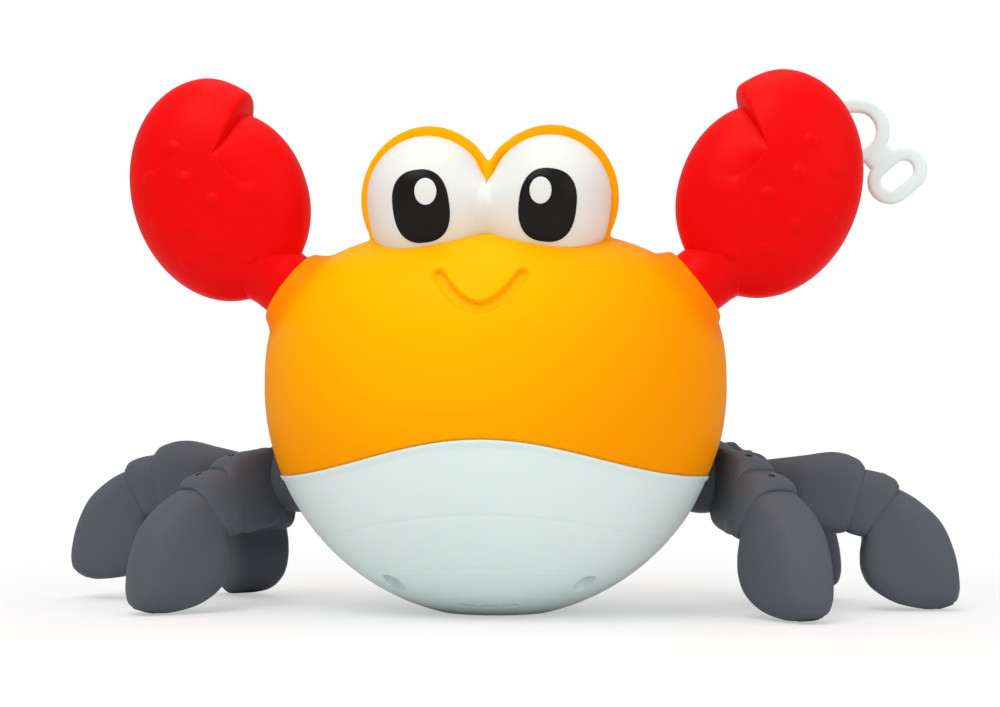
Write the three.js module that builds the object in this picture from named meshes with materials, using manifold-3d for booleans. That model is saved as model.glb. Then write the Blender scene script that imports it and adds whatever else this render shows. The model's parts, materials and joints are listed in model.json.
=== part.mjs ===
// Crab bath toy: a clockwork walking crab of moulded plastic.
// Millimetres, +Z up. X runs left to right, the face looks along -Y, and z = 0 is the belly's flat sole.
import * as THREE from 'three';
import { mergeVertices } from 'three/addons/utils/BufferGeometryUtils.js';
import Module from 'manifold-3d';

const wasm = await Module();
wasm.setup();

// Fits and walls
const GAP = 0.3;
const WALL = 2.4;

// Body: an oval egg with a flat sole
const BODY_WIDTH = 147;
const BODY_DEPTH = 124;
const BODY_TOP = 121.5;
const EQUATOR = 71;
const SOLE_CUT = 2;
const CROWN_POWER = 2.7;

// Seam between the upper shell and the belly: a wave that rises in the middle
const SEAM_SIDE = 43.4;
const SEAM_RISE = 11.3;
const SEAM_HALF_WAVE = 68;

// Smile groove
const SMILE_HEIGHT = 92.7;
const SMILE_HALF_WIDTH = 12.3;
const SMILE_RISE = 10.6;
const SMILE_GROOVE = 1.8;

// Eyes: two lobes side by side on top of the body
const EYE_SPACING = 37.3;
const EYE_FORWARD = BODY_DEPTH * 6 / 31;
const EYE_LIFT = 7.1;
const EYE_RADIUS = EYE_SPACING * 0.563;
const EYE_HEIGHT = 22.5;
const EYE_DEPTH = 24;
const EYE_RIM_SIDE = 1.7;
const EYE_RIM_TOP = 2.7;
const EYE_PLUG = 5;
const PUPIL_WIDTH = 17.4;
const PUPIL_HEIGHT = 21.8;
const PUPIL_DROP = 5.6;
const PUPIL_LEAN = 4;
const PUPIL_DEEP = 1.2;
const PUPIL_PROUD = 0.2;

// Arms and claws
const SHOULDER_HEIGHT = 102.4;
const SHOULDER_FORWARD = 15;
const ARM_RISE = 37.7;
const NECK_RADIUS = 10.6;
const NECK_SEAT = 2.5;
const COLLAR_RADIUS = 12.4;
const COLLAR_DEEP = 9;
const ARM_SHAFT_RADIUS = 6;
const WASHER_RADIUS = 11;
const WASHER_THICK = 2.5;
const CLAW_REACH = 22.5;
const CLAW_RISE = 31;
const CLAW_LENGTH = 71;
const CLAW_WIDTH = 57;
const CLAW_THICK = 34;
const CLAW_LEAN = 14.6;
const CLAW_FULLNESS = 0.8;
const THUMB_SCALE = 0.8;
const BUMP_RADIUS = 2.3;
const BUMP_PROUD = 0.8;

// Pull ring on the right claw
const RING_THICK = 3;
const RING_BAND = 4.2;
const RING_WAIST = 9.2;
const LOOP_RADIUS = 5.8;
const LOOP_STRETCH = 2;
const SLOT_WIDTH = 6;
const SLOT_LENGTH = 11.4;
const SLOT_ANGLE = 40;
const RING_PEG_RADIUS = 1.9;
const RING_PEG_HEAD = 3.4;

// Legs: a hub on each side carries three legs
const HIP_HEIGHT = 43.2;
const HIP_BACK = 18;
const HIP_PROUD = 2;
const HUB_RADIUS = 14;
const HUB_HEIGHT = 12.5;
const HUB_FACET = 0.4;
const LEG_PEG_RADIUS = 2.5;
const LEG_PEG_START = 9.5;
const LEG_REACH = 83;
const LEG_TAPER = 0.3;
const LEG_FORWARD = { front: 50, middle: -6, rear: -45 };
const LEG_SHORTER = { front: 21, middle: 0, rear: 26 };
const LEG_LIFT = { left: { front: 0, middle: 5, rear: 0 }, right: { front: 0, middle: 0, rear: 3 } };
const LEG_SWING = { left: -8, right: 8 };
const DRAIN_RADIUS = 0.9;

// Hip cups and cranks
const CUP_HALF_WIDTH = 22;
const CUP_HALF_HEIGHT = 18;
const CUP_FORWARD = 5;
const CUP_DEPTH = 18.5;
const CRANK_RADIUS = 5.5;
const PIN_RADIUS = 2.5;
const PIN_HEAD = 3.3;
const PIN_REACH = 6;

// Clockwork motor
const GEAR_MODULE = 1.5;
const AXLE_TEETH = 14;
const WHEEL_TEETH = 28;
const PINION_TEETH = 12;
const BARREL_TEETH = 36;
const WHEEL_BEARING = 100;
const BARREL_BEARING = 215;
const GEAR_FACE = 4;
const AXLE_RADIUS = 2.5;
const AXLE_HALF = 40;
const PLATE_INSIDE = 15.7;
const PLATE_THICK = 2.5;
const DRUM_RADIUS = 23;
const DRUM_DEPTH = 9;
const ARBOR_RADIUS = 5;
const SPRING_TURNS = 4;
const SPRING_THICK = 0.8;

// Screws that hold the belly to the upper shell
const SCREW_X = 29;
const SCREW_FRONT = -25;
const SCREW_REAR = 34;
const SCREW_RECESS = 10;
const SCREW_HEAD_RADIUS = 2.5;
const SCREW_RADIUS = 1.3;
const SCREW_LENGTH = 16;
const POST_RADIUS = 3.6;

const rad = THREE.MathUtils.degToRad;
const halfWidth = BODY_WIDTH / 2;
const halfDepth = BODY_DEPTH / 2;
const bellyDrop = EQUATOR + SOLE_CUT;
const crownRise = BODY_TOP - EQUATOR;

// Materials, one for each finish
function plastic(color, roughness = 0.45) {
  return new THREE.MeshStandardMaterial({ color, roughness, metalness: 0 });
}
const yellow = () => plastic(0xffb000);
const white = () => plastic(0xe2ece8);
const eyeWhite = () => plastic(0xfafaf8, 0.35);
const black = () => plastic(0x1c1b1a, 0.35);
const red = () => plastic(0xee1111, 0.4);
const grey = () => plastic(0x5b5e65, 0.55);
const gearWhite = () => plastic(0xd9d6cc, 0.5);
const steel = () => new THREE.MeshStandardMaterial({ color: 0xb9bcc0, roughness: 0.35, metalness: 1 });

// A closed geometry becomes a solid: vertices are merged, empty triangles dropped, faces turned outwards.
function solid(geometry) {
  const bare = geometry.clone();
  for (const name of Object.keys(bare.attributes)) {
    if (name !== 'position') bare.deleteAttribute(name);
  }
  const merged = mergeVertices(bare, 1e-4);
  const points = merged.attributes.position.array;
  const index = merged.index.array;
  const triangles = [];
  let volume = 0;
  const corner = [new THREE.Vector3(), new THREE.Vector3(), new THREE.Vector3()];
  for (let i = 0; i < index.length; i += 3) {
    const [a, b, c] = [index[i], index[i + 1], index[i + 2]];
    if (a === b || b === c || c === a) continue;
    triangles.push(a, b, c);
    [a, b, c].forEach((v, k) => corner[k].fromArray(points, 3 * v));
    volume += corner[0].dot(corner[1].clone().cross(corner[2]));
  }
  if (volume < 0) {
    for (let i = 0; i < triangles.length; i += 3) {
      [triangles[i], triangles[i + 1]] = [triangles[i + 1], triangles[i]];
    }
  }
  return new wasm.Manifold(new wasm.Mesh({
    numProp: 3,
    vertProperties: new Float32Array(points),
    triVerts: new Uint32Array(triangles),
  }));
}

function piece(name, body, material) {
  const { vertProperties, triVerts } = body.getMesh();
  const geometry = new THREE.BufferGeometry();
  geometry.setAttribute('position', new THREE.BufferAttribute(vertProperties, 3));
  geometry.setIndex(new THREE.BufferAttribute(triVerts, 1));
  geometry.computeVertexNormals();
  const mesh = new THREE.Mesh(geometry, material);
  mesh.name = name;
  return mesh;
}

const union = (first, ...rest) => rest.reduce((sum, next) => sum.add(next), first);
const cut = (first, ...rest) => rest.reduce((sum, next) => sum.subtract(next), first);

function box(x0, x1, y0, y1, z0, z1) {
  const geometry = new THREE.BoxGeometry(x1 - x0, y1 - y0, z1 - z0);
  return solid(geometry.translate((x0 + x1) / 2, (y0 + y1) / 2, (z0 + z1) / 2));
}

// A round bar from one point to another
function rod(from, to, radius, sides = 16, endRadius = radius) {
  const along = to.clone().sub(from);
  const geometry = new THREE.CylinderGeometry(endRadius, radius, along.length(), sides);
  const heading = along.clone().normalize();
  const turn = new THREE.Quaternion().setFromUnitVectors(new THREE.Vector3(0, 1, 0), heading);
  geometry.applyQuaternion(turn);
  const middle = from.clone().add(to).multiplyScalar(0.5);
  return solid(geometry.translate(middle.x, middle.y, middle.z));
}

function ellipsoid(centre, rx, ry, rz, around = 18, rings = 10) {
  const geometry = new THREE.SphereGeometry(1, around, rings).rotateX(Math.PI / 2).scale(rx, ry, rz);
  return solid(geometry.translate(centre.x, centre.y, centre.z));
}

// A closed skin over rings of equal counts, with a point at the middle of each end
function loft(rings) {
  const count = rings[0].length;
  const middle = (ring) => ring.reduce((sum, p) => sum.add(p), new THREE.Vector3()).divideScalar(count);
  const points = [...rings.flat(), middle(rings[0]), middle(rings.at(-1))];
  const first = rings.length * count;
  const index = [];
  for (let r = 0; r + 1 < rings.length; r++) {
    for (let k = 0; k < count; k++) {
      const a = r * count + k;
      const b = r * count + (k + 1) % count;
      index.push(a, b, a + count, b, b + count, a + count);
    }
  }
  const last = (rings.length - 1) * count;
  for (let k = 0; k < count; k++) {
    index.push(first, (k + 1) % count, k);
    index.push(first + 1, last + k, last + (k + 1) % count);
  }
  const geometry = new THREE.BufferGeometry().setFromPoints(points);
  geometry.setIndex(index);
  return solid(geometry);
}

// Body form: every level is an ellipse, and the outline is a rounded crown over a half egg.
function bodyShare(z, inset = 0) {
  const up = z > EQUATOR;
  const reach = (up ? crownRise : bellyDrop) - inset;
  const power = up ? CROWN_POWER : 2;
  return Math.max(0, 1 - Math.abs((z - EQUATOR) / reach) ** power) ** (1 / power);
}
const surfaceX = (y, z) => halfWidth * Math.sqrt(Math.max(0, bodyShare(z) ** 2 - (y / halfDepth) ** 2));
const surfaceY = (x, z) => -halfDepth * Math.sqrt(Math.max(0, bodyShare(z) ** 2 - (x / halfWidth) ** 2));
function bellyHeight(x, y) {
  const share = (x / halfWidth) ** 2 + (y / halfDepth) ** 2;
  return EQUATOR - bellyDrop * Math.sqrt(1 - share);
}

function bodySolid(inset, around = 32, rings = 8) {
  const outline = [new THREE.Vector2(0, inset)];
  const drop = bellyDrop - inset;
  const floorAngle = Math.asin((EQUATOR - inset) / drop);
  for (let i = 0; i <= rings; i++) {
    const a = floorAngle * (1 - i / rings);
    outline.push(new THREE.Vector2(Math.cos(a), EQUATOR - drop * Math.sin(a)));
  }
  const power = 2 / CROWN_POWER;
  for (let i = 1; i < rings; i++) {
    const a = (i / rings) * Math.PI / 2;
    const height = EQUATOR + (crownRise - inset) * Math.sin(a) ** power;
    outline.push(new THREE.Vector2(Math.cos(a) ** power, height));
  }
  outline.push(new THREE.Vector2(0, BODY_TOP - inset));
  const geometry = new THREE.LatheGeometry(outline, around).rotateX(Math.PI / 2);
  return solid(geometry.scale(halfWidth - inset, halfDepth - inset, 1));
}

// Everything above the seam wave, raised or lowered by an offset
function aboveSeam(offset) {
  const far = BODY_WIDTH;
  const shape = new THREE.Shape();
  shape.moveTo(-far, SEAM_SIDE + offset);
  const steps = 16;
  for (let i = 0; i <= steps; i++) {
    const t = -1 + 2 * i / steps;
    shape.lineTo(t * SEAM_HALF_WAVE, SEAM_SIDE + offset + SEAM_RISE * (1 + Math.cos(Math.PI * t)) / 2);
  }
  shape.lineTo(far, SEAM_SIDE + offset);
  shape.lineTo(far, BODY_TOP * 2);
  shape.lineTo(-far, BODY_TOP * 2);
  shape.closePath();
  const geometry = new THREE.ExtrudeGeometry(shape, { depth: 2 * BODY_DEPTH, bevelEnabled: false });
  return solid(geometry.rotateX(Math.PI / 2).translate(0, BODY_DEPTH, 0));
}

// Eye lobes: two ellipsoids joined side by side
const eyeCentre = (side) => new THREE.Vector3(side * EYE_SPACING / 2, -EYE_FORWARD, BODY_TOP + EYE_LIFT);
function eyeLobes(rx, ry, rz) {
  return ellipsoid(eyeCentre(-1), rx, ry, rz).add(ellipsoid(eyeCentre(1), rx, ry, rz));
}
const whiteRadius = EYE_RADIUS - EYE_RIM_SIDE;
const whiteHeight = EYE_HEIGHT - EYE_RIM_TOP;
const eyeSpan = EYE_SPACING + 2 * EYE_RADIUS;
const eyeSlab = (y0, y1) => box(-eyeSpan, eyeSpan, y0, y1, EQUATOR, BODY_TOP + EYE_LIFT + 2 * EYE_HEIGHT);

// A pupil's oblong, leaning outwards at the top, as a bar through the front of the eye
function pupilBar(side, grow) {
  const r = PUPIL_WIDTH / 2 + grow;
  const straight = (PUPIL_HEIGHT - PUPIL_WIDTH) / 2;
  const shape = new THREE.Shape();
  shape.absarc(0, straight, r, 0, Math.PI);
  shape.absarc(0, -straight, r, Math.PI, 2 * Math.PI);
  shape.closePath();
  const options = { depth: EYE_DEPTH * 2, bevelEnabled: false, curveSegments: 7 };
  const geometry = new THREE.ExtrudeGeometry(shape, options);
  geometry.rotateZ(rad(-side * PUPIL_LEAN)).rotateX(Math.PI / 2);
  const centre = eyeCentre(side);
  return solid(geometry.translate(centre.x, centre.y, centre.z - PUPIL_DROP));
}

// Shoulder frame: the arm axis leaves the shell upwards and outwards
const shoulder = (side) => new THREE.Vector3(
  side * surfaceX(SHOULDER_FORWARD, SHOULDER_HEIGHT),
  -SHOULDER_FORWARD,
  SHOULDER_HEIGHT,
);
const armAxis = (side) => new THREE.Vector3(side * Math.cos(rad(ARM_RISE)), 0, Math.sin(rad(ARM_RISE)));
const alongArm = (side, s) => shoulder(side).addScaledVector(armAxis(side), s);
const armRod = (side, s0, s1, radius, sides) => rod(alongArm(side, s0), alongArm(side, s1), radius, sides);

// Hip frame: the point about which a leg hub rocks
const hip = (side) =>
  new THREE.Vector3(side * (surfaceX(HIP_BACK, HIP_HEIGHT) + HIP_PROUD), HIP_BACK, HIP_HEIGHT);
const sideName = (side) => (side < 0 ? 'left' : 'right');
const outwards = (side) => (side < 0 ? Math.PI : 0);

// A bar of oval section along X, centred on the hip opening
function cupBar(side, x0, x1, grow) {
  const geometry = new THREE.CylinderGeometry(1, 1, x1 - x0, 28).rotateZ(Math.PI / 2);
  geometry.scale(1, CUP_HALF_WIDTH + grow, CUP_HALF_HEIGHT + grow);
  return solid(geometry.translate(side * (x0 + x1) / 2, HIP_BACK - CUP_FORWARD, HIP_HEIGHT));
}
const cupFloor = hip(1).x - CUP_DEPTH;

// Screw places, under the belly
const screwPlaces = {
  front_left: [-SCREW_X, SCREW_FRONT],
  front_right: [SCREW_X, SCREW_FRONT],
  rear_left: [-SCREW_X, SCREW_REAR],
  rear_right: [SCREW_X, SCREW_REAR],
};
const screwSeat = (x, y) => bellyHeight(x, y) + SCREW_RECESS;
const up = (x, y, z0, z1, radius, sides = 8) =>
  rod(new THREE.Vector3(x, y, z0), new THREE.Vector3(x, y, z1), radius, sides);

// Motor frame: wheel centres in the Y-Z plane
const bearing = (from, distance, angle) => ({
  y: from.y + distance * Math.cos(rad(angle)),
  z: from.z + distance * Math.sin(rad(angle)),
});
const meshDistance = (a, b) => GEAR_MODULE * (a + b) / 2;
const axleAt = { y: HIP_BACK, z: HIP_HEIGHT };
const wheelAt = bearing(axleAt, meshDistance(AXLE_TEETH, WHEEL_TEETH), WHEEL_BEARING);
const barrelAt = bearing(wheelAt, meshDistance(PINION_TEETH, BARREL_TEETH), BARREL_BEARING);
const plateFeet = [-HIP_BACK, HIP_BACK];
const plateFoot = 14;
const plateFootHalf = 5;
const plateMiddle = PLATE_INSIDE + PLATE_THICK / 2;

const outer = bodySolid(0);
const inner = bodySolid(WALL, 20, 5);
const shell = outer.subtract(inner);

// Upper shell: crown of the body, eye hood, shoulder collars and screw posts
function upperShell() {
  const hood = eyeLobes(EYE_RADIUS, EYE_DEPTH, EYE_HEIGHT).intersect(eyeSlab(-EYE_FORWARD, EYE_DEPTH));
  const cavity = eyeLobes(whiteRadius + GAP, EYE_DEPTH - WALL, whiteHeight + GAP)
    .intersect(eyeSlab(-EYE_FORWARD - 1, EYE_DEPTH));
  let body = outer.add(hood).subtract(inner).subtract(cavity.subtract(bodySolid(-GAP)));
  for (const side of [-1, 1]) {
    body = body.add(armRod(side, -COLLAR_DEEP, 1, COLLAR_RADIUS, 20));
  }
  body = body.intersect(aboveSeam(GAP / 2));
  for (const [x, y] of Object.values(screwPlaces)) {
    const foot = screwSeat(x, y) + WALL + GAP;
    body = body.add(up(x, y, foot, BODY_TOP, POST_RADIUS).intersect(outer));
    body = body.subtract(up(x, y, 0, screwSeat(x, y) + SCREW_LENGTH + 1, SCREW_RADIUS + GAP));
  }
  for (const side of [-1, 1]) {
    body = cut(
      body,
      armRod(side, -NECK_SEAT, COLLAR_DEEP, NECK_RADIUS + GAP, 20),
      armRod(side, -2 * COLLAR_DEEP, COLLAR_DEEP, ARM_SHAFT_RADIUS + GAP, 14),
      cupBar(side, cupFloor, BODY_WIDTH, GAP),
    );
  }
  return cut(body, ...smileCutters());
}

function smileCutters() {
  const at = (t) => {
    const x = t * SMILE_HALF_WIDTH;
    const z = SMILE_HEIGHT + SMILE_RISE * t ** 2;
    return new THREE.Vector3(x, surfaceY(x, z), z);
  };
  const path = new THREE.CatmullRomCurve3([-1, -0.7, -0.35, 0, 0.35, 0.7, 1].map(at));
  const section = new THREE.Shape().absarc(0, 0, SMILE_GROOVE, 0, 2 * Math.PI);
  const tube = new THREE.ExtrudeGeometry(section, { extrudePath: path, steps: 12, curveSegments: 4 });
  const end = (t) => ellipsoid(at(t), SMILE_GROOVE, SMILE_GROOVE, SMILE_GROOVE, 8, 6);
  return [solid(tube), end(-1), end(1)];
}

// Belly shell: lower half of the egg, with screw sleeves, motor posts and drain slots
function bellyShell() {
  let body = shell;
  for (const [x, y] of Object.values(screwPlaces)) {
    body = body.add(up(x, y, 0, screwSeat(x, y) + WALL, POST_RADIUS + WALL / 2).intersect(outer));
  }
  for (const side of [-1, 1]) {
    for (const y of plateFeet) {
      body = body.add(up(side * plateMiddle, y, 0, plateFoot - GAP, plateFootHalf).intersect(outer));
    }
  }
  body = body.subtract(aboveSeam(-GAP / 2));
  for (const [x, y] of Object.values(screwPlaces)) {
    const seat = screwSeat(x, y);
    body = body.subtract(up(x, y, -1, seat, SCREW_HEAD_RADIUS + GAP));
    body = body.subtract(up(x, y, 0, seat + SCREW_LENGTH, SCREW_RADIUS + GAP));
  }
  for (const side of [-1, 1]) {
    body = body.subtract(cupBar(side, cupFloor, BODY_WIDTH, GAP));
  }
  return cut(body, ...drainSlots());
}

// Three drain slots in a row, just ahead of the flat sole
function drainSlots() {
  const soleEdge = halfDepth * bodyShare(0);
  const pitch = 6.5;
  const half = { x: 2.2, y: 1 };
  const y = -soleEdge - 2 * half.y;
  return [-1, 0, 1].map((k) =>
    box(k * pitch - half.x, k * pitch + half.x, y - half.y, y + half.y, -1, 2 * WALL));
}

function caseScrew(x, y) {
  const seat = screwSeat(x, y);
  const head = up(0, 0, -2, -GAP, SCREW_HEAD_RADIUS);
  const shank = up(0, 0, -1, SCREW_LENGTH, SCREW_RADIUS, 8);
  const mesh = piece('', head.add(shank), steel());
  mesh.position.set(x, y, seat);
  return mesh;
}

// Eye insert: white lobes whose plug sits inside the hood
const eyeFace = () => eyeLobes(whiteRadius, EYE_DEPTH, whiteHeight);
const pupilFloor = (deep) => eyeLobes(whiteRadius - deep, EYE_DEPTH - deep, whiteHeight - deep);
function eyeInsert() {
  const front = eyeFace().intersect(eyeSlab(-EYE_FORWARD - 2 * EYE_DEPTH, -EYE_FORWARD - GAP));
  const plugRadius = whiteRadius - 2 * GAP;
  const plugSlab = eyeSlab(-EYE_FORWARD - 1, -EYE_FORWARD + EYE_PLUG);
  const plug = eyeLobes(plugRadius, EYE_DEPTH, whiteHeight - 2 * GAP).intersect(plugSlab);
  const body = front.add(plug).subtract(bodySolid(-GAP));
  const recess = (side) => pupilBar(side, GAP).subtract(pupilFloor(PUPIL_DEEP + GAP));
  return cut(body, recess(-1), recess(1));
}
function pupil(side) {
  const proud = eyeLobes(whiteRadius + PUPIL_PROUD, EYE_DEPTH + PUPIL_PROUD, whiteHeight + PUPIL_PROUD);
  return cut(pupilBar(side, 0).intersect(proud), pupilFloor(PUPIL_DEEP), bodySolid(-GAP));
}

// Claw: an oval pillow with a pincer at the top, a recessed thumb, a neck and a field of bumps.
// Places in the claw are given outwards and up from its middle.
const clawMiddle = (side) => shoulder(side).add(new THREE.Vector3(side * CLAW_REACH, 0, CLAW_RISE));
function clawPillow(side, share, thickShare, hold) {
  const lean = rad(CLAW_LEAN);
  const around = 24;
  const layers = 8;
  const rings = [];
  for (let j = 1; j < layers; j++) {
    const level = -Math.PI / 2 + Math.PI * j / layers;
    const ring = [];
    for (let i = 0; i < around; i++) {
      const a = 2 * Math.PI * i / around;
      const u = Math.cos(level) ** CLAW_FULLNESS * Math.cos(a) * CLAW_WIDTH / 2;
      const v = Math.cos(level) ** CLAW_FULLNESS * Math.sin(a) * CLAW_LENGTH / 2;
      const out = u * Math.cos(lean) + v * Math.sin(lean);
      const rise = -u * Math.sin(lean) + v * Math.cos(lean);
      ring.push(new THREE.Vector3(
        side * (hold.out + share * (out - hold.out)),
        thickShare * CLAW_THICK / 2 * Math.sin(level),
        hold.up + share * (rise - hold.up),
      ));
    }
    rings.push(ring);
  }
  return loft(rings);
}

// The thumb's field in the claw's plane, from the notch round to the inner edge
function thumbField(side, thick) {
  const corners = [[-11.5, 24.5], [1.2, 11], [1.5, 6.5], [-7.5, -2.5], [-34, -13], [-40, 24]];
  const shape = new THREE.Shape(corners.map(([out, rise]) => new THREE.Vector2(side * out, rise)));
  const geometry = new THREE.ExtrudeGeometry(shape, { depth: 2 * thick, bevelEnabled: false });
  return solid(geometry.rotateX(Math.PI / 2).translate(0, thick, 0));
}
// The wedge that is cut away over the pincer's tip
function pincerTrim(side, thick) {
  const corners = [[-10, 33], [-14, 26.5], [-12, 23.5], [-30, 20], [-30, 40]];
  const shape = new THREE.Shape(corners.map(([out, rise]) => new THREE.Vector2(side * out, rise)));
  const geometry = new THREE.ExtrudeGeometry(shape, { depth: 2 * thick, bevelEnabled: false });
  return solid(geometry.rotateX(Math.PI / 2).translate(0, thick, 0));
}

// Half thickness of the claw at a place in its plane
function clawDepth(out, rise) {
  const lean = rad(CLAW_LEAN);
  const u = (out * Math.cos(lean) - rise * Math.sin(lean)) / (CLAW_WIDTH / 2);
  const v = (out * Math.sin(lean) + rise * Math.cos(lean)) / (CLAW_LENGTH / 2);
  return CLAW_THICK / 2 * Math.sqrt(Math.max(0, 1 - Math.hypot(u, v) ** (2 / CLAW_FULLNESS)));
}

const bumpPlaces = [
  [15, 12], [21, 1], [11, 1], [1, -6], [19.5, -13], [9.5, -16], [-1, -23], [9, -27], [-12, -25],
];
function clawSolid(side) {
  const middle = clawMiddle(side);
  const whole = clawPillow(side, 1, 1, { out: 0, up: 0 });
  const thumb = clawPillow(side, THUMB_SCALE, 0.86, { out: -24, up: -18 });
  const field = thumbField(side, CLAW_THICK);
  let claw = whole.subtract(field).subtract(pincerTrim(side, CLAW_THICK)).add(thumb);
  for (const [out, rise] of bumpPlaces) {
    const y = clawDepth(out, rise) + BUMP_PROUD - BUMP_RADIUS;
    for (const face of [-1, 1]) {
      const place = new THREE.Vector3(side * out, face * y, rise);
      claw = claw.add(ellipsoid(place, BUMP_RADIUS, BUMP_RADIUS, BUMP_RADIUS, 6, 4));
    }
  }
  const toShoulder = shoulder(side).sub(middle);
  const neck = (s0, s1, radius, sides) => rod(
    toShoulder.clone().addScaledVector(armAxis(side), s0),
    toShoulder.clone().addScaledVector(armAxis(side), s1),
    radius,
    sides,
  );
  claw = claw.add(neck(-NECK_SEAT + GAP, 2 * NECK_RADIUS, NECK_RADIUS, 20));
  return claw.subtract(neck(-COLLAR_DEEP, 2 * NECK_RADIUS - 4, ARM_SHAFT_RADIUS + GAP, 14));
}

// Arm shaft: runs in the shoulder bore, and a washer on its inner end keeps the claw in
const shaftEnd = COLLAR_DEEP + WASHER_THICK + 2;
function armShaft(side) {
  return rod(
    armAxis(side).multiplyScalar(-shaftEnd),
    armAxis(side).multiplyScalar(2 * NECK_RADIUS - 4 - GAP),
    ARM_SHAFT_RADIUS,
    14,
  );
}
function armWasher(side) {
  const disc = (s0, s1, radius, sides) => rod(
    armAxis(side).multiplyScalar(s0),
    armAxis(side).multiplyScalar(s1),
    radius,
    sides,
  );
  const outside = -COLLAR_DEEP - GAP;
  const ring = disc(outside - WASHER_THICK, outside, WASHER_RADIUS, 20);
  return ring.subtract(disc(outside - 2 * WASHER_THICK, 0, ARM_SHAFT_RADIUS + GAP, 14));
}

function clawGroup(side) {
  const group = new THREE.Group();
  group.position.copy(shoulder(side));
  const claw = clawSolid(side);
  const reach = 4 * CLAW_LENGTH;
  const offset = clawMiddle(side).sub(shoulder(side));
  const front = claw.intersect(box(-reach, reach, -reach, -GAP / 2, -reach, reach));
  const back = claw.intersect(box(-reach, reach, GAP / 2, reach, -reach, reach));
  const frontMesh = piece(`${sideName(side)}_claw_front`, front, red());
  frontMesh.position.copy(offset);
  group.add(frontMesh);
  const backSolid = side > 0 ? back.subtract(ringPegBar(GAP, 0)) : back;
  const backMesh = piece(`${sideName(side)}_claw_back`, backSolid, red());
  backMesh.position.copy(offset);
  group.add(backMesh);
  group.add(piece(`${sideName(side)}_arm_shaft`, armShaft(side), gearWhite()));
  group.add(piece(`${sideName(side)}_arm_washer`, armWasher(side), gearWhite()));
  return group;
}

// Pull ring: a flat plate with a round finger loop and an oblong cord slot, hung on a peg behind the claw
const RING_PLACE = { out: 28.3, up: 18.6 };
const SLOT_PLACE = { out: 13.4, up: -14.2 };
const PEG_PLACE = {
  out: RING_PLACE.out - LOOP_STRETCH / 2 - LOOP_RADIUS + RING_PEG_RADIUS + 1.5 * GAP,
  up: RING_PLACE.up,
};
// The plate clears the claw's back where its loop comes nearest, with room to swing
const loopEdge = LOOP_STRETCH / 2 + LOOP_RADIUS + RING_BAND;
const ringFront = clawDepth(RING_PLACE.out - loopEdge - 1, RING_PLACE.up - 4) + 2 * GAP;
function ringPegBar(grow, headRadius) {
  const at = (y) => new THREE.Vector3(PEG_PLACE.out, y, PEG_PLACE.up);
  const bar = rod(at(1), at(ringFront + RING_THICK + 0.8), RING_PEG_RADIUS + grow, 14);
  if (headRadius === 0) return bar;
  return bar.add(rod(at(ringFront + RING_THICK + GAP), at(ringFront + RING_THICK + 2), headRadius, 16));
}
function pullRing() {
  const outline = (radius, half) => {
    const shape = new THREE.Shape();
    shape.absarc(0, half, radius, 0, Math.PI);
    shape.absarc(0, -half, radius, Math.PI, 2 * Math.PI);
    shape.closePath();
    return shape;
  };
  const slab = (shape, depth, turn, place) => {
    const geometry = new THREE.ExtrudeGeometry(shape, { depth, bevelEnabled: false, curveSegments: 8 });
    geometry.translate(0, 0, -depth / 2).rotateZ(turn).rotateX(Math.PI / 2);
    return solid(geometry.translate(place.out, 0, place.up));
  };
  const slotHalf = (SLOT_LENGTH - SLOT_WIDTH) / 2;
  const turn = -rad(90 - SLOT_ANGLE);
  const middle = { out: 0, up: 0 };
  const stretch = LOOP_STRETCH / 2;
  const loop = slab(outline(LOOP_RADIUS + RING_BAND, stretch), RING_THICK, Math.PI / 2, middle);
  const lobe = slab(outline(SLOT_WIDTH / 2 + RING_BAND, slotHalf), RING_THICK, turn, SLOT_PLACE);
  const loopHole = slab(outline(LOOP_RADIUS, stretch), 2 * RING_THICK, Math.PI / 2, middle);
  const slot = slab(outline(SLOT_WIDTH / 2, slotHalf), 2 * RING_THICK, turn, SLOT_PLACE);
  const span = Math.hypot(SLOT_PLACE.out, SLOT_PLACE.up) / 2;
  const webTurn = Math.atan2(SLOT_PLACE.up, SLOT_PLACE.out) - Math.PI / 2;
  const waist = outline(RING_WAIST / 2, span - RING_WAIST / 2);
  const web = slab(waist, RING_THICK, webTurn, { out: SLOT_PLACE.out / 2, up: SLOT_PLACE.up / 2 });
  return cut(union(loop, lobe, web), loopHole, slot);
}

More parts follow.
